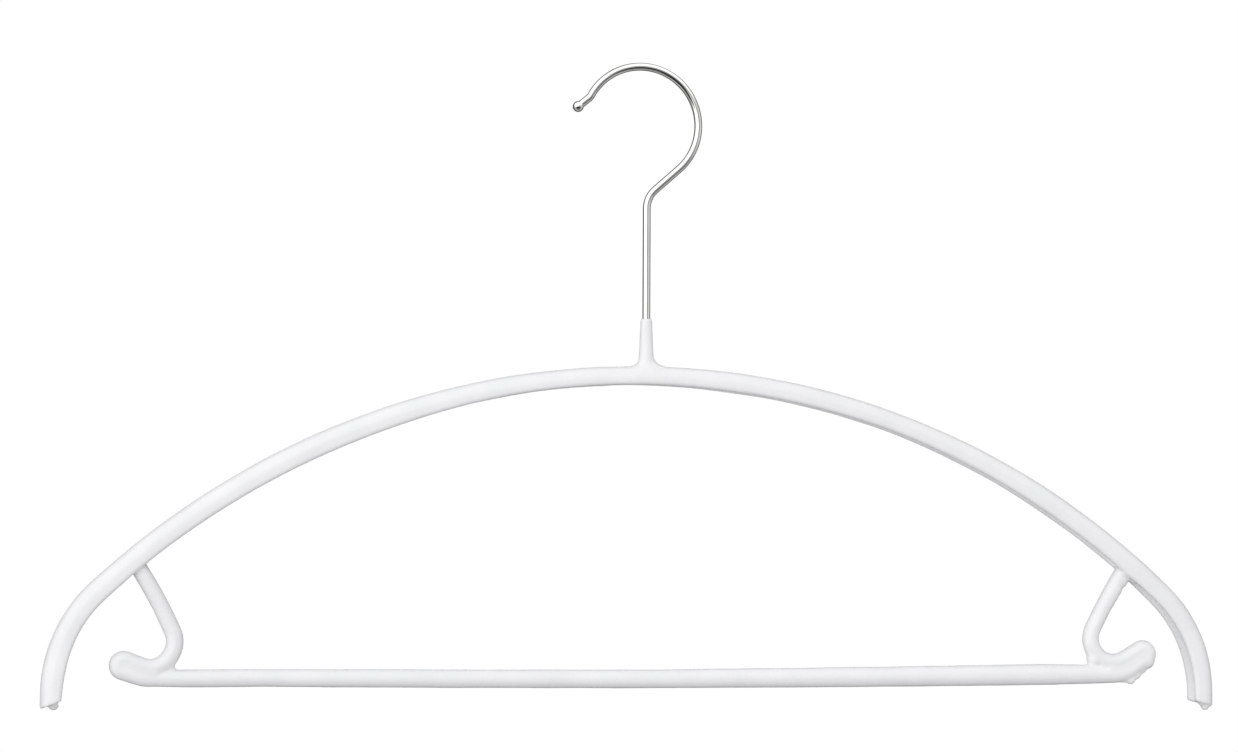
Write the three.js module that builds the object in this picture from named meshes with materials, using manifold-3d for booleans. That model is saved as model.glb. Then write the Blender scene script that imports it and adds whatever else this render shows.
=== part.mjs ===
// Coated steel clothes hanger with a swivelling chromed hook, a trouser bar and two skirt notches.
//
// Millimetres, +Z up, +X along the hanger, +Y through it. The origin is the rail seat: the point
// on the swivel axis where the inside of the hook rests on a clothes rail. The frame below the
// hook is drawn in its own group, whose zero is the top of the coated arch at its crown.
//
// Pieces, from the inside out:
//   swivel_hook       chromed wire, ball tip above, upset head below
//   neck_bush         thin flanged steel tube that the hook stem turns in
//   shoulder_arch     sheet-steel gutter, open on its underside
//   trouser_bar_wire  one bent wire: link, skirt notch, lip, bar, lip, skirt notch, link
//   pvc_coating       one dipped skin over the whole frame, open only round the hook stem

import * as THREE from 'three';
import { mergeVertices } from 'three/addons/utils/BufferGeometryUtils.js';
import Module from 'manifold-3d';

const wasm = await Module();
wasm.setup();

// ---------------------------------------------------------------- driving dimensions

// arch, measured on the top line of its coated roof; angles in degrees
const ARCH_RADIUS = 282;
const ARCH_HALF_ANGLE = 43.5;
const SHOULDER_RADIUS = 52;
const SHOULDER_ANGLE = 46.5;
const ARM_TAIL = 4.6; // straight run at the foot of each arm
const ARM_END_CUT = 3; // the walls end this much before the roof does

// section of the arch: an inverted U with a half-round roof
const ARCH_WIDTH = 9.2; // over the coating
const WALL_DEPTH_SHOULDER = 7.9; // roof to wall edge, over the coating
const WALL_DEPTH_CROWN = 6.6;
const DEPTH_BLEND_LENGTH = 110; // along the arch, from the crown
const SHEET = 0.9;

// coating
const COAT = 0.7; // solid thickness of the skin
const GAP = 0.25; // between the skin and the steel
const SKIN = COAT + GAP;

// trouser bar wire
const WIRE_RADIUS = 1.8;
const HAIRPIN_RADIUS = 2; // centreline of the tight bend at a lip's end
const NOTCH_RADIUS = 8.3; // centreline of the bend round a skirt notch
const NOTCH_X = 172.7; // notch centre from the swivel axis
const BAR_Z = -109.65; // bar centreline below the crown
const LIP_LENGTH = 6.6;
const LIP_RISE_LEFT = 20; // degrees above the bar
const LIP_RISE_RIGHT = 34;
const LINK_HEADING = 61.5; // slope of the link up into the arch
const LINK_LENGTH = 29.2;
const WELD_REACH = 1; // how far the skin runs on past the wire's end to the roof of the arch
const BAR_COAT_RADIUS_LEFT = 3.1; // the coating on the bar is thicker towards the right
const BAR_COAT_RADIUS_RIGHT = 3.9;

// neck and swivel, heights above the crown
const NECK_TOP = 16.5;
const NECK_TOP_RADIUS = 1.95;
const NECK_BASE_RADIUS = 2.55;
const NECK_FILLET = 1.4;
const NECK_ROUNDING = 0.3;
const NECK_PLUG_RADIUS = 3.6; // coating that fills the gutter under the neck
const NECK_PLUG_BOTTOM = -6.3;
const BUSH_TOP = 8;
const BUSH_RADIUS = 1.85;
const BUSH_BORE = 1.5;
const BUSH_FLANGE_RADIUS = 2.2;
const BUSH_FLANGE_TOP = -3.5;
const BUSH_FLANGE_BOTTOM = -4.1;
const BUSH_CLEARANCE = 0.15;
const HEAD_RADIUS = 2.2; // upset head that keeps the hook in the bush
const HEAD_TOP = -4.35;
const HEAD_BOTTOM = -5.35;
const POCKET_RADIUS = 2.45; // room for the head inside the coating
const POCKET_TOP = -3.3;
const POCKET_BOTTOM = -5.6;

// hook
const HOOK_WIRE_RADIUS = 1.4;
const HOOK_RADIUS = 20.7; // centreline
const HOOK_CENTRE_X = -2.1;
const HOOK_CENTRE_HEIGHT = 85.45; // above the crown
const LEAD_SLOPE = 41.5; // straight run between the stem's bend and the loop
const STEM_BEND_RADIUS = 9;
const LOOP_TURN = 200.5;
const TIP_KINK = 23; // outward kink before the ball
const TIP_KINK_RADIUS = 2;
const TIP_LENGTH = 5.2;
const BALL_RADIUS = 1.95;

// drips where the coating gathered: [x, lowest z below the crown, radius]
const DRIPS = [
  [-207.9, -121.0, 1.5],
  [207.9, -122.2, 1.5],
  [179.2, -112.7, 1.7],
];
const DRIP_STRETCH = 1.5;

const WIRE_SIDES = 12;
const HOOK_SIDES = 16;
const ROUND_SIDES = 24; // turned pieces
const LIP_SIDES = 16;
const ROOF_SIDES = 8; // facets across the arch's half-round roof
const GUTTER_SIDES = 6; // facets across the half-round inside
const BEAD_SIDES = 4; // facets round the coated edge of a wall

// ---------------------------------------------------------------- helpers

const cosd = (degrees) => Math.cos(THREE.MathUtils.degToRad(degrees));
const sind = (degrees) => Math.sin(THREE.MathUtils.degToRad(degrees));

// Points along an arc, from one angle to another, both ends included.
function arcPoints(centreX, centreY, radius, from, to, steps) {
  const points = [];
  for (let i = 0; i <= steps; i += 1) {
    const angle = from + ((to - from) * i) / steps;
    points.push(new THREE.Vector2(centreX + radius * cosd(angle), centreY + radius * sind(angle)));
  }
  return points;
}

function circleShape(radius, sides) {
  const lastAngle = 360 - 360 / sides;
  return new THREE.Shape(arcPoints(0, 0, radius, 0, lastAngle, sides - 1));
}

// Stations of a path in the XZ plane. Each move is a straight run or a bend of the given radius
// and turn, in degrees and positive to the left, split into steps.
function walk(start, moves) {
  const stations = [start];
  for (const { run = 0, radius = 0, turn = 0, steps = 1 } of moves) {
    const { x, z, heading } = stations.at(-1);
    const reach = Math.sign(turn) * radius;
    const centre = { x: x - reach * sind(heading), z: z + reach * cosd(heading) };
    for (let i = 1; i <= steps; i += 1) {
      const ahead = (run * i) / steps;
      const newHeading = heading + (turn * i) / steps;
      stations.push({
        x: turn ? centre.x + reach * sind(newHeading) : x + ahead * cosd(heading),
        z: turn ? centre.z - reach * cosd(newHeading) : z + ahead * sind(heading),
        heading: newHeading,
      });
    }
  }
  return stations;
}

// A straight extrusion with one slice for each station, bent by place(point, station).
function bentExtrusion(shape, stations, place) {
  const slices = stations.length - 1;
  const geometry = new THREE.ExtrudeGeometry(shape, { depth: slices, steps: slices, bevelEnabled: false });
  const position = geometry.getAttribute('position');
  const point = new THREE.Vector3();
  for (let i = 0; i < position.count; i += 1) {
    point.fromBufferAttribute(position, i);
    const placed = place(point, stations[Math.round(point.z)]);
    position.setXYZ(i, placed.x, placed.y, placed.z);
  }
  return geometry;
}

// A round wire along a path; a station may state its own radius.
function wire(radius, sides, stations) {
  return bentExtrusion(circleShape(1, sides), stations, (point, station) => {
    const size = station.radius ?? radius;
    const left = point.x * size;
    return {
      x: station.x - left * sind(station.heading),
      y: -point.y * size,
      z: station.z + left * cosd(station.heading),
    };
  });
}

// A turned piece about Z, from a profile of [radius, z] pairs that starts and ends on the axis.
function turned(profile) {
  const points = profile.map(([radius, z]) => new THREE.Vector2(radius, z));
  return new THREE.LatheGeometry(points, ROUND_SIDES).rotateX(Math.PI / 2);
}

function rod(radius, bottom, top) {
  return turned([[0, bottom], [radius, bottom], [radius, top], [0, top]]);
}

function solid(geometry) {
  const bare = geometry.clone();
  bare.deleteAttribute('normal');
  bare.deleteAttribute('uv');
  const merged = mergeVertices(bare);
  return new wasm.Manifold(new wasm.Mesh({
    numProp: 3,
    vertProperties: new Float32Array(merged.getAttribute('position').array),
    triVerts: new Uint32Array(merged.index.array),
  }));
}

function united(geometries) {
  return geometries.map(solid).reduce((whole, next) => whole.add(next));
}

function geometryOf(manifold) {
  const { vertProperties, triVerts } = manifold.getMesh();
  const geometry = new THREE.BufferGeometry();
  geometry.setAttribute('position', new THREE.BufferAttribute(new Float32Array(vertProperties), 3));
  geometry.setIndex(new THREE.BufferAttribute(new Uint32Array(triVerts), 1));
  geometry.computeVertexNormals();
  return geometry;
}

function piece(name, geometry, look) {
  const mesh = new THREE.Mesh(geometry, new THREE.MeshStandardMaterial(look));
  mesh.name = name;
  return mesh;
}

// ---------------------------------------------------------------- arch

const ARCH_LENGTH = THREE.MathUtils.degToRad(ARCH_HALF_ANGLE) * ARCH_RADIUS;
const SHOULDER_LENGTH = THREE.MathUtils.degToRad(SHOULDER_ANGLE) * SHOULDER_RADIUS;
const HALF_LENGTH = ARCH_LENGTH + SHOULDER_LENGTH + ARM_TAIL;
const ROOF_RADIUS = ARCH_WIDTH / 2;

// Point on the arch's top line at a distance along it from the crown, negative to the left,
// with the slope there in radians below the horizontal.
function topLine(distance) {
  const side = Math.sign(distance);
  const along = Math.abs(distance);
  const onArch = Math.min(along, ARCH_LENGTH) / ARCH_RADIUS;
  const onShoulder = THREE.MathUtils.clamp(along - ARCH_LENGTH, 0, SHOULDER_LENGTH) / SHOULDER_RADIUS;
  const onTail = Math.max(along - ARCH_LENGTH - SHOULDER_LENGTH, 0);
  const fall = onArch + onShoulder;
  const reach = ARCH_RADIUS * Math.sin(onArch) + SHOULDER_RADIUS * (Math.sin(fall) - Math.sin(onArch));
  const drop = ARCH_RADIUS * (1 - Math.cos(onArch)) + SHOULDER_RADIUS * (Math.cos(onArch) - Math.cos(fall));
  return { x: side * (reach + onTail * Math.cos(fall)), z: -drop - onTail * Math.sin(fall), side, fall };
}

// Distances along the top line where the arch has a slice, ending short of the full length.
function archStations(shortfall) {
  const half = [];
  const archSteps = 13;
  const shoulderSteps = 8;
  for (let i = 1; i <= archSteps; i += 1) half.push((ARCH_LENGTH * i) / archSteps);
  for (let i = 1; i <= shoulderSteps; i += 1) half.push(ARCH_LENGTH + (SHOULDER_LENGTH * i) / shoulderSteps);
  half.push(HALF_LENGTH - shortfall);
  return [...half.map((distance) => -distance).reverse(), 0, ...half];
}

// Inverted U, drawn with its depth along -x: a roof of the outer radius, walls down to the
// bottom depth, and a gutter of the inner radius. Wall edges are square, or round with a bead.
function gutterShape(outer, inner, bottom, rounded) {
  const middle = (outer + inner) / 2;
  const bead = (outer - inner) / 2;
  const edge = (side) => {
    if (rounded) return arcPoints(bead - bottom, side * middle, bead, 90, 270, BEAD_SIDES);
    return [new THREE.Vector2(-bottom, side * middle + bead), new THREE.Vector2(-bottom, side * middle - bead)];
  };
  return new THREE.Shape([
    ...arcPoints(-ROOF_RADIUS, 0, outer, -90, 90, ROOF_SIDES),
    ...edge(1),
    ...arcPoints(-ROOF_RADIUS, 0, inner, 90, -90, GUTTER_SIDES),
    ...edge(-1),
  ]);
}

// The walls are shallower towards the crown, and cut back at the arms' ends.
function gutter(shape, shortfall) {
  return bentExtrusion(shape, archStations(shortfall), (point, distance) => {
    const blend = THREE.MathUtils.smoothstep(Math.abs(distance), 0, DEPTH_BLEND_LENGTH);
    const shallower = (WALL_DEPTH_SHOULDER - WALL_DEPTH_CROWN) * (1 - blend);
    const isWall = -point.x > ROOF_RADIUS + GAP;
    const depth = isWall ? -point.x - shallower : -point.x;
    const cut = (ARM_END_CUT * Math.max(depth, 0)) / WALL_DEPTH_SHOULDER;
    const { x, z, side, fall } = topLine(distance * (1 - cut / HALF_LENGTH));
    return { x: x - side * depth * Math.sin(fall), y: -point.y, z: z - depth * Math.cos(fall) };
  });
}

const STEEL_OUTER = ROOF_RADIUS - SKIN;
const STEEL_INNER = STEEL_OUTER - SHEET;
const STEEL_DEPTH = WALL_DEPTH_SHOULDER - SKIN;

const archSteel = gutter(gutterShape(STEEL_OUTER, STEEL_INNER, STEEL_DEPTH, false), SKIN);
const archCavity = gutter(gutterShape(STEEL_OUTER + GAP, STEEL_INNER - GAP, STEEL_DEPTH + GAP, false), COAT);
const archSkin = gutter(gutterShape(ROOF_RADIUS, STEEL_INNER - SKIN, WALL_DEPTH_SHOULDER, true), 0);

// ---------------------------------------------------------------- trouser bar wire

// One side of the wire, walked outward from the middle of the bar. The lower run bends up
// concentric with the notch, turns back in a hairpin, and the upper run rises round the notch.
function wireSide(rise, linkLength) {
  const lower = walk({ x: 0, z: BAR_Z, heading: 0 }, [
    { run: NOTCH_X, steps: 3 },
    { radius: NOTCH_RADIUS + 2 * HAIRPIN_RADIUS, turn: rise, steps: 4 },
    { run: LIP_LENGTH },
  ]);
  const hairpin = walk(lower.at(-1), [{ radius: HAIRPIN_RADIUS, turn: 180, steps: 8 }]);
  const upper = walk(hairpin.at(-1), [
    { run: LIP_LENGTH },
    { radius: NOTCH_RADIUS, turn: LINK_HEADING - rise - 180, steps: 8 },
    { run: linkLength },
  ]);
  return { lower, hairpin, upper };
}

// The same stations on the left, walked inward.
function mirrored(stations) {
  return stations.map(({ x, z, heading }) => ({ x: -x, z, heading: -heading })).reverse();
}

function wireRuns(linkLength) {
  const left = wireSide(LIP_RISE_LEFT, linkLength);
  const right = wireSide(LIP_RISE_RIGHT, linkLength);
  return [
    mirrored(left.upper),
    mirrored(left.hairpin),
    [...mirrored(left.lower), ...right.lower.slice(1)],
    right.hairpin,
    right.upper,
  ];
}

// Closed round body of a hairpin whose two runs merge: a disc with a rounded rim, across Y.
function hairpinBody(radius, hairpin) {
  const meeting = THREE.MathUtils.radToDeg(Math.acos(-HAIRPIN_RADIUS / radius));
  const rim = arcPoints(HAIRPIN_RADIUS, 0, radius, -meeting, meeting, 8);
  rim.at(0).x = 0;
  rim.at(-1).x = 0;
  const [start, end] = [hairpin.at(0), hairpin.at(-1)];
  const body = new THREE.LatheGeometry(rim, LIP_SIDES);
  return body.translate((start.x + end.x) / 2, 0, (start.z + end.z) / 2);
}

// The bar's coating grows from left to right, and thins to the plain skin on the lips.
function barSkin(station) {
  const across = THREE.MathUtils.clamp((station.x / NOTCH_X + 1) / 2, 0, 1);
  const onBar = THREE.MathUtils.lerp(BAR_COAT_RADIUS_LEFT, BAR_COAT_RADIUS_RIGHT, across);
  const rise = station.x < 0 ? LIP_RISE_LEFT : LIP_RISE_RIGHT;
  const onLip = Math.abs(station.heading) / rise;
  return { ...station, radius: THREE.MathUtils.lerp(onBar, WIRE_RADIUS + SKIN, onLip) };
}

// Bodies that together fill a tube round the wire.
function roundWire(radius, lowerStations) {
  const [leftUpper, leftHairpin, , rightHairpin, rightUpper] = wireRuns(LINK_LENGTH + WELD_REACH);
  return [
    wire(radius, WIRE_SIDES, leftUpper),
    hairpinBody(radius, leftHairpin),
    wire(radius, WIRE_SIDES, lowerStations),
    hairpinBody(radius, rightHairpin),
    wire(radius, WIRE_SIDES, rightUpper),
  ];
}

const runs = wireRuns(LINK_LENGTH);
const lowerRun = runs[2];
const wholeWire = [runs[0][0], ...runs.flatMap((run) => run.slice(1))];

const barWire = wire(WIRE_RADIUS, WIRE_SIDES, wholeWire);
const wireCavity = roundWire(WIRE_RADIUS + GAP, lowerRun);
const wireSkin = roundWire(WIRE_RADIUS + SKIN, lowerRun.map(barSkin));

// ---------------------------------------------------------------- neck, bush and head pocket

const bushWall = turned([
  [0, BUSH_FLANGE_BOTTOM],
  [BUSH_FLANGE_RADIUS, BUSH_FLANGE_BOTTOM],
  [BUSH_FLANGE_RADIUS, BUSH_FLANGE_TOP],
  [BUSH_RADIUS, BUSH_FLANGE_TOP],
  [BUSH_RADIUS, BUSH_TOP],
  [0, BUSH_TOP],
]);
const bushBore = rod(BUSH_BORE, BUSH_FLANGE_BOTTOM - 1, BUSH_TOP + 1);
const neckBush = solid(bushWall).subtract(solid(bushBore));

const neckSkin = turned([
  [0, NECK_PLUG_BOTTOM],
  [NECK_PLUG_RADIUS, NECK_PLUG_BOTTOM],
  ...arcPoints(NECK_BASE_RADIUS + NECK_FILLET, NECK_FILLET, NECK_FILLET, -105, -180, 4)
    .map(({ x, y }) => [x, y]),
  [NECK_TOP_RADIUS, NECK_TOP - NECK_ROUNDING],
  [NECK_TOP_RADIUS - NECK_ROUNDING, NECK_TOP],
  [0, NECK_TOP],
]);

const neckCavity = [
  rod(BUSH_BORE, 0, NECK_TOP + 1),
  rod(BUSH_RADIUS + BUSH_CLEARANCE, POCKET_TOP - 0.5, BUSH_TOP + BUSH_CLEARANCE),
  rod(POCKET_RADIUS, POCKET_BOTTOM, POCKET_TOP),
];

const bushHole = rod(BUSH_RADIUS + BUSH_CLEARANCE, POCKET_TOP, 1);
const shoulderArch = solid(archSteel).subtract(solid(bushHole));

// ---------------------------------------------------------------- coating

const drips = DRIPS.map(([x, lowest, radius]) => (
  new THREE.SphereGeometry(radius, 10, 6).rotateX(Math.PI / 2).scale(1, 1, DRIP_STRETCH)
    .translate(x, 0, lowest + DRIP_STRETCH * radius)
));

const pvcCoating = united([archSkin, ...wireSkin, neckSkin, ...drips])
  .subtract(united([archCavity, ...wireCavity, ...neckCavity]));

// ---------------------------------------------------------------- hook

// Where the straight lead meets the loop, and where its line crosses the stem.
const leadEnd = {
  x: HOOK_CENTRE_X + HOOK_RADIUS * sind(LEAD_SLOPE),
  z: HOOK_CENTRE_HEIGHT - HOOK_RADIUS * cosd(LEAD_SLOPE),
};
const leadLine = leadEnd.x / cosd(LEAD_SLOPE);
const bendTangent = STEM_BEND_RADIUS * Math.tan(THREE.MathUtils.degToRad(90 - LEAD_SLOPE) / 2);
const stemTop = leadEnd.z - leadLine * sind(LEAD_SLOPE) - bendTangent;

const hookPath = walk({ x: 0, z: HEAD_TOP - 0.3, heading: 90 }, [
  { run: stemTop - HEAD_TOP + 0.3 },
  { radius: STEM_BEND_RADIUS, turn: LEAD_SLOPE - 90, steps: 5 },
  { run: leadLine - bendTangent },
  { radius: HOOK_RADIUS, turn: LOOP_TURN, steps: 26 },
  { radius: TIP_KINK_RADIUS, turn: -TIP_KINK, steps: 2 },
  { run: TIP_LENGTH },
]);
const tip = hookPath.at(-1);
const ball = new THREE.SphereGeometry(BALL_RADIUS, 16, 10).translate(tip.x, 0, tip.z);
const head = rod(HEAD_RADIUS, HEAD_BOTTOM, HEAD_TOP);
const hook = united([wire(HOOK_WIRE_RADIUS, HOOK_SIDES, hookPath), ball, head]);

// ---------------------------------------------------------------- assembly

const frame = new THREE.Group();
frame.add(
  piece('shoulder_arch', geometryOf(shoulderArch), { color: 0x9a9da0, roughness: 0.45, metalness: 0.9 }),
  piece('trouser_bar_wire', barWire, { color: 0x9a9da0, roughness: 0.4, metalness: 0.9 }),
  piece('neck_bush', geometryOf(neckBush), { color: 0xb0b2b4, roughness: 0.35, metalness: 0.9 }),
  piece('pvc_coating', geometryOf(pvcCoating), { color: 0xf3f4f6, roughness: 0.3, metalness: 0 }),
  piece('swivel_hook', geometryOf(hook), { color: 0xd8dad8, roughness: 0.08, metalness: 1 }),
);

// The rail touches the inside of the loop straight above the stem.
const insideRadius = HOOK_RADIUS - HOOK_WIRE_RADIUS;
const seatHeight = HOOK_CENTRE_HEIGHT + Math.sqrt(insideRadius ** 2 - HOOK_CENTRE_X ** 2);
frame.position.z = -seatHeight;

const hanger = new THREE.Group();
hanger.add(frame);

export default hanger;
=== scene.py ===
"""A dip-coated steel clothes hanger with a chromed swivel hook, hanging in a white studio.

Shapes are drawn in millimetres from the crown, the top of the arch in its middle, with +X along
the hanger and +Z up. They are set into the row frame, in metres, as each mesh is made.
"""

import math

import bmesh
import bpy
import numpy as np
from mathutils import Matrix, Vector, noise


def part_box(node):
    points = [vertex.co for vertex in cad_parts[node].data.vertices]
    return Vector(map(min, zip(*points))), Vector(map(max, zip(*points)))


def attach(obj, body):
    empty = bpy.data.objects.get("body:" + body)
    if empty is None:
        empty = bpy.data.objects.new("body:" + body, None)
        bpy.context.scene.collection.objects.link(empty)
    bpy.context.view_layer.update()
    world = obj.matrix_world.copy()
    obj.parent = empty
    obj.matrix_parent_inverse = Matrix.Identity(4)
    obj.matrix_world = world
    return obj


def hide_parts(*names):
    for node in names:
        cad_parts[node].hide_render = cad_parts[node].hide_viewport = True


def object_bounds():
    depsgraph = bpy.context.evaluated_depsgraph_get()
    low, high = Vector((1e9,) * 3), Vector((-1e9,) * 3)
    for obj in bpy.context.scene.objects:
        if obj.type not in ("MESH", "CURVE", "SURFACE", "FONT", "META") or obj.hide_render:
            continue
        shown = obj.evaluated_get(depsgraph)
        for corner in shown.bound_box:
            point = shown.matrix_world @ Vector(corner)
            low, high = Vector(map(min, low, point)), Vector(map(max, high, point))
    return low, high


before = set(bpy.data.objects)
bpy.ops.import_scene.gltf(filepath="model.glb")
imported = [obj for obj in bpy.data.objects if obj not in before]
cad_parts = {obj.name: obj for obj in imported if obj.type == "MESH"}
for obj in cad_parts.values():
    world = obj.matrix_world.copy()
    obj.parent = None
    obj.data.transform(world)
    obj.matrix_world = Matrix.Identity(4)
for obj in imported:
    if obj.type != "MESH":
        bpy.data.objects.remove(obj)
cad_low, cad_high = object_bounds()

# ---------------------------------------------------------------- driving dimensions, millimetres

MM = 0.001
NECK_TOP = 16.5
CROWN_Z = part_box("pvc_coating")[1].z / MM - NECK_TOP

# arch: an inverted U, measured on the top line of its roof, angles in degrees
ARCH_RADIUS = 282
ARCH_HALF_ANGLE = 43.5
SHOULDER_RADIUS = 52
SHOULDER_ANGLE = 46.5
ARM_TAIL = 5.2  # the coating runs a little past the steel
ARM_END_CUTS = {-1: 3.0, 1: 2.2}  # the walls end this much before the roof does
ARCH_SHIFT = -0.05  # how far the arch as dipped stands to the right of the stem
ARCH_SAG = 0.35  # and below it
ROOF_RADIUS = 4.6
GUTTER_RADIUS = 1.9
GUTTER_DEPTH = 2.6  # from the wall edges up to where the coating has filled it
# wall depth from roof to edge: (distance along the arch from the crown, depth)
WALL_DEPTHS = [
    (-261, 7.3), (-256, 7.6), (-250, 7.8), (-200, 7.7), (-110, 7.9), (-85, 7.5), (-50, 6.8), (0, 6.7),
    (25, 7.1), (60, 7.2), (90, 7.2), (130, 7.6), (165, 8.0), (190, 8.0), (250, 8.4), (261, 8.2),
]
# how much shallower the viewer's wall is: (distance, amount)
NEAR_WALL_SHORT = [(200, 0), (215, 0.45), (261, 0.5)]

# trouser bar wire, centrelines
NOTCH_X = 172.7
NOTCH_RADIUS = 8.3
HAIRPIN_RADIUS = 2
BAR_Z = -109.65
LIP_LENGTH = 6.6
LIP_RISES = {-1: 18.5, 1: 33}
LINK_HEADING = 61.5
LINK_LENGTH = 30.2
LINK_COAT = [(-112, 3.1), (-98, 3.05), (-84, 3.0), (-72, 2.9)]  # (height, radius)
LINK_SHIFTS = {-1: 0.75, 1: 0.0}  # how far the links stand outwards
LINK_BOWS = {-1: 1.15, 1: 0.55}  # and bow inwards halfway up
LINK_BOW_START = 9  # the bow starts this far before the straight run
NOTCH_LIFTS = {-1: -0.45, 1: 0.3}  # how far the notch and lip stand above the bend as drawn
LIP_COAT_RADIUS = 3.1
LIP_FILL_RADIUS = 3.0
# how far the coating's middle hangs off the wire's, and its radius: (x, lift, radius)
BAR_COAT = [
    (-196, -1.1, 3.1), (-173, -0.6, 2.9), (-161, -0.6, 3.1), (-130, -0.5, 3.1), (-67, -0.8, 3.25),
    (0, -0.95, 3.3), (63, -0.5, 3.55), (147, 0.45, 3.8), (173, 0.6, 3.2),
]

# neck
NECK_TOP_RADIUS = 2.1
NECK_BASE_RADIUS = 2.75
NECK_ROUNDING = 0.45
NECK_FLARES = {-1: 2.3, 1: 3.8}
NECK_FLARE_SIDE = 1.2
NECK_ROOT = -4  # the sleeve starts inside the arch
ROOF_BLEND = 3  # height over which its foot follows the roof
PLUG_RADIUS = 3.6
PLUG_TOP = -2
PLUG_BOTTOM = -6.3
PLUG_CHAMFER = 0.6

# bore for the hook's stem, round the bush and the stem's head: (radius, height)
STEM_BORE = [(2.45, -5.6), (2.45, -3.3), (2.0, -3.3), (2.0, 8.15), (1.5, 8.15), (1.5, NECK_TOP + 1)]

# hook
WIRE_RADIUS = 1.4
HOOK_RADIUS = 20.7
HOOK_CENTRE = (-2.1, 85.45)
LEAD_SLOPE = 41.5
STEM_BEND_RADIUS = 9
LOOP_TURN = 200.5
TIP_KINK = 23
TIP_KINK_RADIUS = 2
TIP_LENGTH = 5.2
BALL_RADIUS = 1.95
BALL_LEAD = 0.2  # straight wire kept back for the first ring of the ball
HEAD_BOTTOM = -5.35
WIRE_UNIT = 100  # millimetres of wire to one unit of its texture coordinate
# outline of the stem's upset head: (height above its foot, radius)
HEAD_OUTLINE = [
    (0, 1.6), (0.05, 1.95), (0.2, 2.2), (0.8, 2.2), (0.95, 2.05), (1.0, 1.9), (1.02, 1.45),
    (1.2, WIRE_RADIUS),
]

# drips and webs of coating: (x, y, z, radius)
BEADS = [
    (-205.7, 2.0, -119.4, 1.85),
    (205.6, -2.2, -118.7, 1.8),
    (207.1, -1.4, -120.6, 1.65),
    (208.2, 0, -119.0, 1.6),
    (176.5, 0, -110.5, 1.8),
    (179.4, 0, -111.1, 1.75),
    (181.6, 0, -109.4, 1.6),
    (183.7, 0, -107.4, 1.6),
    (185.3, 0, -104.2, 3.1),
    (165.7, 0, -103.6, 2.9),
    (-166.4, 0, -106.9, 1.8),
    (170.6, 0, -82.7, 2.9),
    (171.9, 0, -80.5, 3.0),
    (173.2, 0, -78.4, 3.0),
    (175.6, 0, -75.4, 2.75),
    (177.9, 0, -73.4, 2.4),
    (181.0, 0, -74.8, 1.9),
]

# mesh density: points round each body, then rings in a drip, millimetres between rings along the
# hook's wire, and rings in its ball
WIRE_SIDES = 24
NECK_SIDES = 48
PLUG_SIDES = 32
BORE_SIDES = 64
HOOK_SIDES = 40
BLOB_RINGS = 16
HOOK_STEP = 0.6
BALL_RINGS = 20

# the skin's voxel size and smoothing
VOXEL = 0.5
FLOW_FACTOR = 0.5
FLOW_STEPS = 8

# edges sharper than this many degrees are shaded as edges
SKIN_SHARP = 50
HOOK_SHARP = 60

RIPPLES = [(0.014, 0.10), (0.005, 0.02)]  # (wavelength in metres, height in millimetres)
NECK_RIPPLE_START = 4
NECK_RIPPLE_SHARE = 0.2


# ---------------------------------------------------------------- mesh helpers

def ringed(rings):
    """A closed tube through rings of points, with flat ends."""
    count = len(rings[0])
    points = [point for ring in rings for point in ring]
    faces = []
    for i in range(len(rings) - 1):
        for j in range(count):
            k = (j + 1) % count
            faces.append((i * count + j, i * count + k, (i + 1) * count + k, (i + 1) * count + j))
    last = (len(rings) - 1) * count
    faces.append(tuple(range(count - 1, -1, -1)))
    faces.append(tuple(range(last, last + count)))
    return points, faces


def mesh_piece(name, parts):
    """One object from several bodies, moved from crown millimetres to the row frame in metres."""
    points, faces = [], []
    for part_points, part_faces in parts:
        start = len(points)
        points += [(x * MM, y * MM, (z + CROWN_Z) * MM) for x, y, z in part_points]
        faces += [tuple(start + i for i in face) for face in part_faces]
    mesh = bpy.data.meshes.new(name)
    mesh.from_pydata(points, [], faces)
    shape = bmesh.new()
    shape.from_mesh(mesh)
    bmesh.ops.recalc_face_normals(shape, faces=shape.faces)
    shape.to_mesh(mesh)
    shape.free()
    piece = bpy.data.objects.new(name, mesh)
    bpy.context.scene.collection.objects.link(piece)
    return piece


def settle(piece):
    """Applies the piece's modifiers."""
    graph = bpy.context.evaluated_depsgraph_get()
    piece.data = bpy.data.meshes.new_from_object(piece.evaluated_get(graph))
    piece.modifiers.clear()


def walk(start, moves, step):
    """Stations (x, z, heading) along straight runs (length, 0) and bends (radius, degrees)."""
    stations = [start]
    for size, turn in moves:
        x, z, heading = stations[-1]
        swing = math.radians(turn)
        reach = math.copysign(size, turn)
        length = size * abs(swing) if turn else size
        count = max(1, round(length / step))
        for i in range(1, count + 1):
            now = heading + swing * i / count
            ahead = size * i / count
            if turn:
                place = (x + reach * (math.sin(now) - math.sin(heading)),
                         z - reach * (math.cos(now) - math.cos(heading)))
            else:
                place = (x + ahead * math.cos(heading), z + ahead * math.sin(heading))
            stations.append((*place, now))
    return stations


def round_ring(x, z, heading, radius, sides):
    """A ring of points round a path in the XZ plane."""
    ring = []
    for j in range(sides):
        angle = math.tau * j / sides
        left = radius * math.cos(angle)
        ring.append((x - left * math.sin(heading), radius * math.sin(angle), z + left * math.cos(heading)))
    return ring


def turned_ring(radius, z, sides):
    return [(radius * math.cos(math.tau * j / sides), radius * math.sin(math.tau * j / sides), z)
            for j in range(sides)]


def blob(x, y, z, radius):
    """A round body."""
    rings = []
    for i in range(1, BLOB_RINGS):
        angle = math.pi * i / BLOB_RINGS
        ring = turned_ring(radius * math.sin(angle), -radius * math.cos(angle), WIRE_SIDES)
        rings.append([(x + px, y + py, z + pz) for px, py, pz in ring])
    return ringed(rings)


def table_value(table, column, x):
    return float(np.interp(x, [row[0] for row in table], [row[column] for row in table]))


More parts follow.
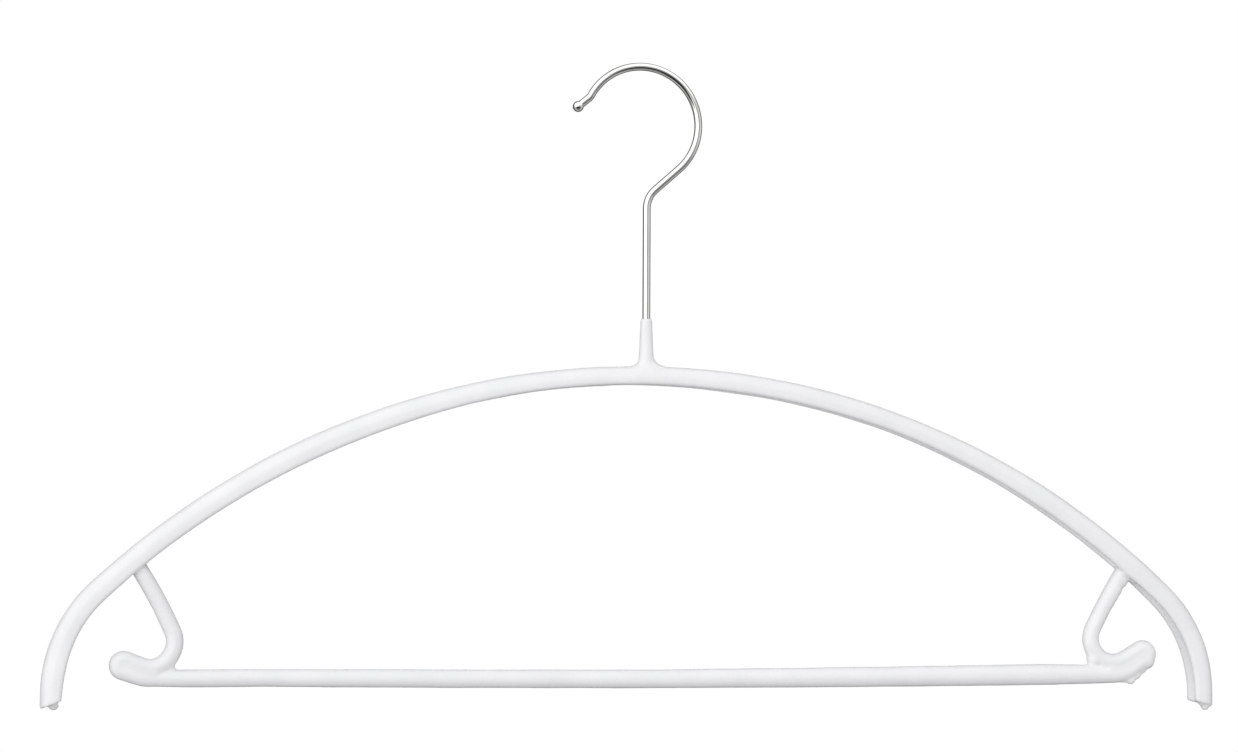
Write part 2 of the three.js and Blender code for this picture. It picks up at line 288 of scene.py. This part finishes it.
# ---------------------------------------------------------------- coating

ARCH_LENGTH = math.radians(ARCH_HALF_ANGLE) * ARCH_RADIUS
SHOULDER_LENGTH = math.radians(SHOULDER_ANGLE) * SHOULDER_RADIUS
HALF_LENGTH = ARCH_LENGTH + SHOULDER_LENGTH + ARM_TAIL


def top_line(distance):
    """Point and slope of the arch's top line, at a distance along it from the crown."""
    side = math.copysign(1, distance)
    along = abs(distance)
    on_arch = min(along, ARCH_LENGTH) / ARCH_RADIUS
    on_shoulder = min(max(along - ARCH_LENGTH, 0), SHOULDER_LENGTH) / SHOULDER_RADIUS
    on_tail = max(along - ARCH_LENGTH - SHOULDER_LENGTH, 0)
    fall = on_arch + on_shoulder
    reach = ARCH_RADIUS * math.sin(on_arch) + SHOULDER_RADIUS * (math.sin(fall) - math.sin(on_arch))
    drop = ARCH_RADIUS * (1 - math.cos(on_arch)) + SHOULDER_RADIUS * (math.cos(on_arch) - math.cos(fall))
    return side * (reach + on_tail * math.cos(fall)), -drop - on_tail * math.sin(fall), side * fall


def gutter_section(depth):
    """Inverted U as (across, depth) points: roof, one rounded wall edge, gutter, the other edge."""
    middle = (ROOF_RADIUS + GUTTER_RADIUS) / 2
    bead = (ROOF_RADIUS - GUTTER_RADIUS) / 2

    def arc(across, deep, radius, start, end, count):
        angles = np.radians(np.linspace(start, end, count))
        return [(across + radius * math.cos(a), deep - radius * math.sin(a)) for a in angles]

    return (arc(0, ROOF_RADIUS, ROOF_RADIUS, 180, 0, 25)
            + arc(middle, depth - bead, bead, 0, -180, 11)
            + arc(0, depth - GUTTER_DEPTH + GUTTER_RADIUS, GUTTER_RADIUS, 0, 180, 13)
            + arc(-middle, depth - bead, bead, 0, -180, 11))


def arch_body():
    rings = []
    count = round(HALF_LENGTH)
    for i in range(-count, count + 1):
        distance = HALF_LENGTH * i / count
        wall_depth = table_value(WALL_DEPTHS, 1, distance)
        ring = []
        for across, depth in gutter_section(wall_depth):
            if across < 0 and depth > ROOF_RADIUS:
                deepness = (depth - ROOF_RADIUS) / (wall_depth - ROOF_RADIUS)
                depth -= deepness * table_value(NEAR_WALL_SHORT, 1, distance)
            cut = ARM_END_CUTS[math.copysign(1, distance)] * depth / wall_depth
            x, z, fall = top_line(distance * (1 - cut / HALF_LENGTH))
            ring.append((x - depth * math.sin(fall) + ARCH_SHIFT, across,
                         z - depth * math.cos(fall) - ARCH_SAG))
        rings.append(ring)
    return ringed(rings)


def coated_wire(stations, radius_at):
    rings = []
    for x, z, heading in stations:
        lift = table_value(BAR_COAT, 1, x)
        rings.append(round_ring(x, z + lift, heading, radius_at(x, z, heading), WIRE_SIDES))
    return ringed(rings)


def wire_side(side):
    """Bodies of one side of the wire, from the middle of the bar out to the lip and up the link."""
    rise = LIP_RISES[side]
    lower = walk((0, BAR_Z, 0),
                 [(NOTCH_X, 0), (NOTCH_RADIUS + 2 * HAIRPIN_RADIUS, rise), (LIP_LENGTH, 0)], 1)
    hairpin = walk(lower[-1], [(HAIRPIN_RADIUS, 180)], 0.5)
    upper = walk(hairpin[-1],
                 [(LIP_LENGTH, 0), (NOTCH_RADIUS, LINK_HEADING - rise - 180), (LINK_LENGTH, 0)], 1)
    fill = walk((NOTCH_X - 2, BAR_Z + HAIRPIN_RADIUS, 0),
                [(2, 0), (NOTCH_RADIUS + HAIRPIN_RADIUS, rise), (LIP_LENGTH + 1, 0)], 1)

    def mirrored(stations):
        return [(side * x, z, side * heading) for x, z, heading in stations]

    def bowed(stations):
        """The link and its notch, from the lip up, drawn inwards in a bow along the straight run."""
        foot = len(stations) - round(LINK_LENGTH)
        shifted = []
        for i, (x, z, heading) in enumerate(stations):
            up = min(max((i - foot + LINK_BOW_START) / (LINK_LENGTH + LINK_BOW_START), 0), 1)
            out = LINK_SHIFTS[side] * min(max((i - LIP_LENGTH) / NOTCH_RADIUS, 0), 1)
            lift = NOTCH_LIFTS[side] * min(i / LIP_LENGTH, 1) * (1 - up)
            shifted.append((x + out - LINK_BOWS[side] * math.sin(math.pi * up), z + lift, heading))
        return shifted

    def bar_radius(x, z, heading):
        on_lip = min(abs(math.degrees(heading)) / rise, 1)
        return table_value(BAR_COAT, 2, x) * (1 - on_lip) + LIP_COAT_RADIUS * on_lip

    def link_radius(x, z, heading):
        return table_value(LINK_COAT, 1, z)

    def lip_radius(x, z, heading):
        return LIP_COAT_RADIUS

    def fill_radius(x, z, heading):
        return LIP_FILL_RADIUS

    return [
        coated_wire(mirrored(lower), bar_radius),
        coated_wire(mirrored(hairpin), lip_radius),
        coated_wire(mirrored(bowed(upper)), link_radius),
        coated_wire(mirrored(fill), fill_radius),
    ]


def neck_body():
    """A tapering sleeve that flares into the arch's roof, more so on the right."""
    rings = [turned_ring(NECK_BASE_RADIUS + 0.5, NECK_ROOT, NECK_SIDES)]
    heights = [*np.linspace(0, 4.5, 24), *np.linspace(5, NECK_TOP - NECK_ROUNDING, 12)]
    for height in heights:
        ring = []
        for j in range(NECK_SIDES):
            angle = math.tau * j / NECK_SIDES
            sidewards = math.cos(angle)
            widest = NECK_FLARES[math.copysign(1, sidewards)]
            flare = NECK_FLARE_SIDE + (widest - NECK_FLARE_SIDE) * sidewards ** 2
            short = max(flare - height, 0)
            spread = flare - math.sqrt(flare ** 2 - short ** 2)
            taper = min(height / (NECK_TOP - NECK_ROUNDING), 1)
            radius = NECK_BASE_RADIUS + (NECK_TOP_RADIUS - NECK_BASE_RADIUS) * taper + spread
            x, y = radius * math.cos(angle), radius * math.sin(angle)
            roof_drop = ROOF_RADIUS - math.sqrt(max(ROOF_RADIUS ** 2 - y ** 2, 0))
            z = height - roof_drop * max(1 - height / ROOF_BLEND, 0) - x ** 2 / (2 * ARCH_RADIUS)
            ring.append((x, y, z))
        rings.append(ring)
    for i in range(1, 6):
        angle = math.pi / 2 * i / 6
        rings.append(turned_ring(NECK_TOP_RADIUS - NECK_ROUNDING * (1 - math.cos(angle)),
                                 NECK_TOP - NECK_ROUNDING * (1 - math.sin(angle)), NECK_SIDES))
    return ringed(rings)


def plug_body():
    outline = [(PLUG_RADIUS, PLUG_TOP), (PLUG_RADIUS, PLUG_BOTTOM + PLUG_CHAMFER),
               (PLUG_RADIUS - PLUG_CHAMFER, PLUG_BOTTOM)]
    return ringed([turned_ring(radius, z, PLUG_SIDES) for radius, z in outline])


def rippled(mesh):
    """Slow unevenness of a dipped skin, moved along the normals; the neck stays nearly true."""
    places = np.empty((len(mesh.vertices), 3), np.float32)
    normals = np.empty_like(places)
    mesh.vertices.foreach_get("co", places.ravel())
    mesh.vertices.foreach_get("normal", normals.ravel())
    push = np.zeros(len(places), np.float32)
    for i, (wavelength, height) in enumerate(RIPPLES):
        offset = Vector((3.1, 7.7, 1.3)) * (i + 1)
        push += [height * noise.noise(Vector(place) / wavelength + offset) for place in places]
    push[places[:, 2] > (CROWN_Z + NECK_RIPPLE_START) * MM] *= NECK_RIPPLE_SHARE
    mesh.vertices.foreach_set("co", (places + normals * push[:, None] * MM).ravel())
    mesh.update()


def make_coating():
    parts = [arch_body(), neck_body(), plug_body()]
    parts += wire_side(-1) + wire_side(1)
    parts += [blob(*bead) for bead in BEADS]
    coating = mesh_piece("pvc_skin", parts)
    remesh = coating.modifiers.new("skin", "REMESH")
    remesh.mode = "VOXEL"
    remesh.voxel_size = VOXEL * MM
    smooth = coating.modifiers.new("flow", "SMOOTH")
    smooth.factor = FLOW_FACTOR
    smooth.iterations = FLOW_STEPS
    settle(coating)
    rippled(coating.data)
    bore = mesh_piece("bore", [ringed([turned_ring(radius, z, BORE_SIDES) for radius, z in STEM_BORE])])
    cut = coating.modifiers.new("bore", "BOOLEAN")
    cut.operation = "DIFFERENCE"
    cut.solver = "MANIFOLD"
    cut.object = bore
    settle(coating)
    bpy.data.objects.remove(bore)
    coating.data.shade_smooth()
    coating.data.set_sharp_from_angle(angle=math.radians(SKIN_SHARP))
    return coating


# ---------------------------------------------------------------- hook

def make_hook():
    """One wire: upset head, stem, bend, lead, loop, kink and ball, with its own wire coordinates."""
    lead_end = (HOOK_CENTRE[0] + HOOK_RADIUS * math.sin(math.radians(LEAD_SLOPE)),
                HOOK_CENTRE[1] - HOOK_RADIUS * math.cos(math.radians(LEAD_SLOPE)))
    lead = lead_end[0] / math.cos(math.radians(LEAD_SLOPE))
    tangent = STEM_BEND_RADIUS * math.tan(math.radians(90 - LEAD_SLOPE) / 2)
    stem_top = lead_end[1] - lead * math.sin(math.radians(LEAD_SLOPE)) - tangent
    stem_start = HEAD_BOTTOM + HEAD_OUTLINE[-1][0]
    to_ball = math.sqrt(BALL_RADIUS ** 2 - WIRE_RADIUS ** 2)

    rings = [(0, HEAD_BOTTOM + height, math.pi / 2, radius) for height, radius in HEAD_OUTLINE]
    path = walk((0, stem_start, math.pi / 2), [
        (stem_top - stem_start, 0),
        (STEM_BEND_RADIUS, LEAD_SLOPE - 90),
        (lead - tangent, 0),
        (HOOK_RADIUS, LOOP_TURN),
        (TIP_KINK_RADIUS, -TIP_KINK),
        (TIP_LENGTH - to_ball - BALL_LEAD, 0),
    ], HOOK_STEP)
    rings += [(*station, WIRE_RADIUS) for station in path[1:]]
    x, z, heading = path[-1]
    first = math.asin(WIRE_RADIUS / BALL_RADIUS)
    for angle in np.linspace(first, math.pi - 0.03, BALL_RINGS):
        ahead = to_ball + BALL_LEAD - BALL_RADIUS * math.cos(angle)
        rings.append((x + ahead * math.cos(heading), z + ahead * math.sin(heading), heading,
                      BALL_RADIUS * math.sin(angle)))

    hook = mesh_piece("chromed_hook", [ringed([round_ring(*ring, HOOK_SIDES) for ring in rings])])
    along, placed = 0, []
    for i, (x, z, heading, radius) in enumerate(rings):
        if i:
            along += math.dist((x, z), rings[i - 1][:2])
        for j in range(HOOK_SIDES):
            angle = math.tau * j / HOOK_SIDES
            placed.append((math.cos(angle), math.sin(angle), along / WIRE_UNIT))
    wire = hook.data.attributes.new("wire", "FLOAT_VECTOR", "POINT")
    wire.data.foreach_set("vector", np.array(placed, np.float32).ravel())
    hook.data.shade_smooth()
    hook.data.set_sharp_from_angle(angle=math.radians(HOOK_SHARP))
    return hook


# ---------------------------------------------------------------- materials

def shader(name, **values):
    """A material with a Principled shader, its constant inputs set by name."""
    material = bpy.data.materials.new(name)
    material.use_nodes = True
    principled = material.node_tree.nodes["Principled BSDF"]
    for key, value in values.items():
        principled.inputs[key.replace("_", " ")].default_value = value
    return material, material.node_tree, principled


def add_node(tree, kind, inputs=None, **settings):
    node = tree.nodes.new(kind)
    for key, value in settings.items():
        setattr(node, key, value)
    for key, value in (inputs or {}).items():
        if isinstance(value, bpy.types.NodeSocket):
            tree.links.new(value, node.inputs[key])
        else:
            node.inputs[key].default_value = value
    return node


def ramp(tree, factor, stops):
    """A colour ramp between two (position, grey or colour) stops."""
    node = add_node(tree, "ShaderNodeValToRGB", {"Fac": factor})
    for element, (position, value) in zip(node.color_ramp.elements, stops):
        element.position = position
        element.color = (*value, 1) if isinstance(value, tuple) else (value, value, value, 1)
    return node.outputs["Color"]


def grain(tree, place, scale, detail):
    """Noise from 0 to 1 over the object."""
    inputs = {"Vector": place, "Scale": scale, "Detail": detail}
    return add_node(tree, "ShaderNodeTexNoise", inputs).outputs["Fac"]


def pvc_material():
    """Soft white dipping plastic: faint cloudiness, uneven gloss, slow ripples and fine peel."""
    material, tree, principled = shader("white_pvc", IOR=1.5, Specular_IOR_Level=0.35, Coat_Weight=0.08,
                                        Coat_Roughness=0.12)
    place = add_node(tree, "ShaderNodeTexCoord").outputs["Object"]
    cloud = grain(tree, place, 70, 3)
    gloss = grain(tree, place, 240, 4)
    peel = grain(tree, place, 900, 2)
    body = ramp(tree, cloud, [(0.3, (0.885, 0.89, 0.912)), (0.7, (0.93, 0.933, 0.95))])

    # a small warm, slightly darker tint in the colour under the neck
    spot = Vector((3.5, 0, CROWN_Z - 6)) * MM
    away = add_node(tree, "ShaderNodeVectorMath", {0: place, 1: spot}, operation="DISTANCE").outputs["Value"]
    near = add_node(tree, "ShaderNodeMapRange",
                    {"Value": away, "From Min": 0.001, "From Max": 0.006, "To Min": 0.7, "To Max": 0})
    warm = add_node(tree, "ShaderNodeMixRGB",
                    {"Fac": near.outputs[0], "Color1": body, "Color2": (0.88, 0.865, 0.80, 1)})
    tree.links.new(warm.outputs["Color"], principled.inputs["Base Color"])
    tree.links.new(ramp(tree, gloss, [(0.3, 0.22), (0.7, 0.34)]), principled.inputs["Roughness"])
    slow = add_node(tree, "ShaderNodeBump", {"Height": cloud, "Strength": 0.25, "Distance": 0.0004})
    fine = add_node(tree, "ShaderNodeBump",
                    {"Height": peel, "Strength": 0.12, "Distance": 0.00005, "Normal": slow.outputs["Normal"]})
    tree.links.new(fine.outputs["Normal"], principled.inputs["Normal"])
    return material


def chrome_material():
    """Nickel-chrome over drawn wire: mirror gloss, faint lengthwise lines and a mottled haze."""
    material, tree, principled = shader("hook_chrome", Metallic=1.0)
    wire = add_node(tree, "ShaderNodeAttribute", attribute_name="wire").outputs["Vector"]
    place = add_node(tree, "ShaderNodeTexCoord").outputs["Object"]
    lines = grain(tree, wire, 14, 4)
    haze = grain(tree, place, 160, 4)
    tint = ramp(tree, haze, [(0.3, (0.80, 0.81, 0.775)), (0.7, (0.86, 0.865, 0.84))])
    tree.links.new(tint, principled.inputs["Base Color"])
    tree.links.new(ramp(tree, haze, [(0.35, 0.05), (0.75, 0.11)]), principled.inputs["Roughness"])
    bump = add_node(tree, "ShaderNodeBump", {"Height": lines, "Strength": 0.15, "Distance": 0.00002})
    tree.links.new(bump.outputs["Normal"], principled.inputs["Normal"])
    return material


def steel_material():
    """Bare mild steel under the coating: rolled streaks and a dull oil stain here and there."""
    material, tree, principled = shader("bare_steel", Metallic=1.0)
    place = add_node(tree, "ShaderNodeTexCoord").outputs["Object"]
    stretched = add_node(tree, "ShaderNodeMapping",
                         {"Vector": place, "Scale": (60, 900, 900)}).outputs["Vector"]
    streaks = grain(tree, stretched, 1, 5)
    stain = grain(tree, place, 90, 3)
    tree.links.new(ramp(tree, stain, [(0.35, (0.42, 0.42, 0.43)), (0.6, (0.6, 0.61, 0.62))]),
                   principled.inputs["Base Color"])
    tree.links.new(ramp(tree, streaks, [(0.3, 0.3), (0.7, 0.5)]), principled.inputs["Roughness"])
    bump = add_node(tree, "ShaderNodeBump", {"Height": streaks, "Strength": 0.2, "Distance": 0.00003})
    tree.links.new(bump.outputs["Normal"], principled.inputs["Normal"])
    return material


def paint(piece, material):
    piece.data.materials.clear()
    piece.data.materials.append(material)


# ---------------------------------------------------------------- pieces on their bodies

coating = make_coating()
paint(coating, pvc_material())
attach(coating, "frame")
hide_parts("pvc_coating")

hook = make_hook()
paint(hook, chrome_material())
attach(hook, "hook")
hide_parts("swivel_hook")

steel = steel_material()
for name in ("neck_bush", "shoulder_arch", "trouser_bar_wire"):
    paint(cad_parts[name], steel)

# ---------------------------------------------------------------- studio

FLOOR_DROP = 0.25  # below the hanger's lowest point
FLOOR_SIZE = 2.4
FLOOR_BACK = 0.6  # its middle stands behind the hanger


def make_floor():
    bpy.ops.mesh.primitive_plane_add(size=FLOOR_SIZE, location=(0, FLOOR_BACK, cad_low.z - FLOOR_DROP))
    floor = bpy.context.object
    floor.name = "studio_floor"
    material, tree, principled = shader("studio_floor", Roughness=0.7)
    place = add_node(tree, "ShaderNodeTexCoord").outputs["Object"]
    mottle = grain(tree, place, 8, 4)
    tree.links.new(ramp(tree, mottle, [(0.3, 0.86), (0.7, 0.9)]), principled.inputs["Base Color"])
    paint(floor, material)
    floor.visible_diffuse = False
    floor.visible_glossy = False


# Patches of light and shade round the object, one over the last: azimuth from the viewer's side,
# positive to the right, elevation, inner and outer half-angle, strength. All were tuned
# towards the photograph's shading in the front view. MIRRORED is what gloss shows, SOFT is the
# general light.
MIRRORED_GREY = 0.42
MIRRORED = [
    (0, 90, 30, 90, 0.4),        # ceiling
    (0, -90, 10, 70, 0.7),       # pale table top
    (180, 0, 60, 95, 0.12),      # unlit room behind the object
    (-38, 30, 50, 60, 1.5),      # large softbox, above and left of the viewer
    (35, 58, 38, 48, 1.3),       # second softbox, high on the right
    (60, 5, 18, 28, 0.75),       # reflector on the right
    (0, -52, 30, 46, 0.2),       # shaded table front
    (30, -24, 16, 28, 0.15),     # shade, low on the right
    (5, -24, 17, 27, 0.02),      # dark gap under the viewer
    (-32, -32, 18, 28, 0.03),    # dark gaps, low on the left
    (-26, -19, 11, 18, 0.03),
    (14, 2, 12, 18, 0.4),        # the viewer's corner
]
SOFT_GREY = 0.48
SOFT = [
    (0, -90, 20, 80, 0.28),      # from below
    (0, 90, 20, 70, 0.86),       # from above
    (-27, 12, 45, 80, 1.13),     # from the viewer's left
]


def mixed(tree, share, low, high):
    return add_node(tree, "ShaderNodeMix", {0: share, 2: low, 3: high}, data_type="FLOAT").outputs[0]


def patched_strength(tree, way, grey, patches):
    strength = grey
    for azimuth, elevation, inner, outer, value in patches:
        turn, rise = math.radians(azimuth), math.radians(elevation)
        direction = Vector((math.sin(turn) * math.cos(rise), -math.cos(turn) * math.cos(rise),
                            math.sin(rise)))
        dot = add_node(tree, "ShaderNodeVectorMath", {0: way, 1: direction},
                       operation="DOT_PRODUCT").outputs["Value"]
        edge, core = math.cos(math.radians(outer)), math.cos(math.radians(inner))
        inside = add_node(tree, "ShaderNodeMapRange", {"Value": dot, "From Min": edge, "From Max": core},
                          interpolation_type="SMOOTHSTEP").outputs["Result"]
        strength = mixed(tree, inside, strength, value)
    return strength


def make_world():
    """White to the camera, soft patches for the general light, sharper ones to be mirrored."""
    world = bpy.data.worlds.new("studio")
    bpy.context.scene.world = world
    world.use_nodes = True
    tree = world.node_tree
    background = tree.nodes["Background"]
    background.inputs["Color"].default_value = (1, 1, 1, 1)
    way = add_node(tree, "ShaderNodeTexCoord").outputs["Generated"]
    ray = add_node(tree, "ShaderNodeLightPath").outputs
    soft = patched_strength(tree, way, SOFT_GREY, SOFT)
    mirrored = patched_strength(tree, way, MIRRORED_GREY, MIRRORED)
    lit = mixed(tree, ray["Is Glossy Ray"], soft, mirrored)
    seen = mixed(tree, ray["Is Camera Ray"], lit, 1.0)
    tree.links.new(seen, background.inputs["Strength"])


KEY_PLACE = (-0.9, -1.3, 1.1)
KEY_SIZE = 0.8
KEY_POWER = 0.4


def make_softbox(name, place, size, power):
    light = bpy.data.lights.new(name, "AREA")
    light.size = size
    light.energy = power
    box = bpy.data.objects.new(name, light)
    box.location = place
    box.rotation_euler = (-Vector(place)).to_track_quat("-Z", "Y").to_euler()
    bpy.context.scene.collection.objects.link(box)


CAMERA_TARGET = Vector((-0.009747, 0, -0.108585))
CAMERA_BACK = Vector((-0.19413, -0.97950, -0.05386))
CAMERA_DISTANCE = 1.279763
CAMERA_ROLL = 0.271  # degrees
CAMERA_LENS = 105.39  # millimetres
CAMERA_SENSOR = 36


def make_camera():
    data = bpy.data.cameras.new("camera")
    data.lens = CAMERA_LENS
    data.sensor_width = CAMERA_SENSOR
    camera = bpy.data.objects.new("camera", data)
    back = CAMERA_BACK.normalized()
    right = Vector((0, 0, 1)).cross(back).normalized()
    up = back.cross(right)
    turn = Matrix.Rotation(math.radians(CAMERA_ROLL), 3, back)
    axes = Matrix((turn @ right, turn @ up, back)).transposed()
    camera.matrix_world = Matrix.Translation(CAMERA_TARGET + back * CAMERA_DISTANCE) @ axes.to_4x4()
    bpy.context.scene.collection.objects.link(camera)
    bpy.context.scene.camera = camera


make_floor()
make_world()
make_softbox("key", KEY_PLACE, KEY_SIZE, KEY_POWER)
make_camera()
bpy.context.scene.view_settings.view_transform = "Standard"
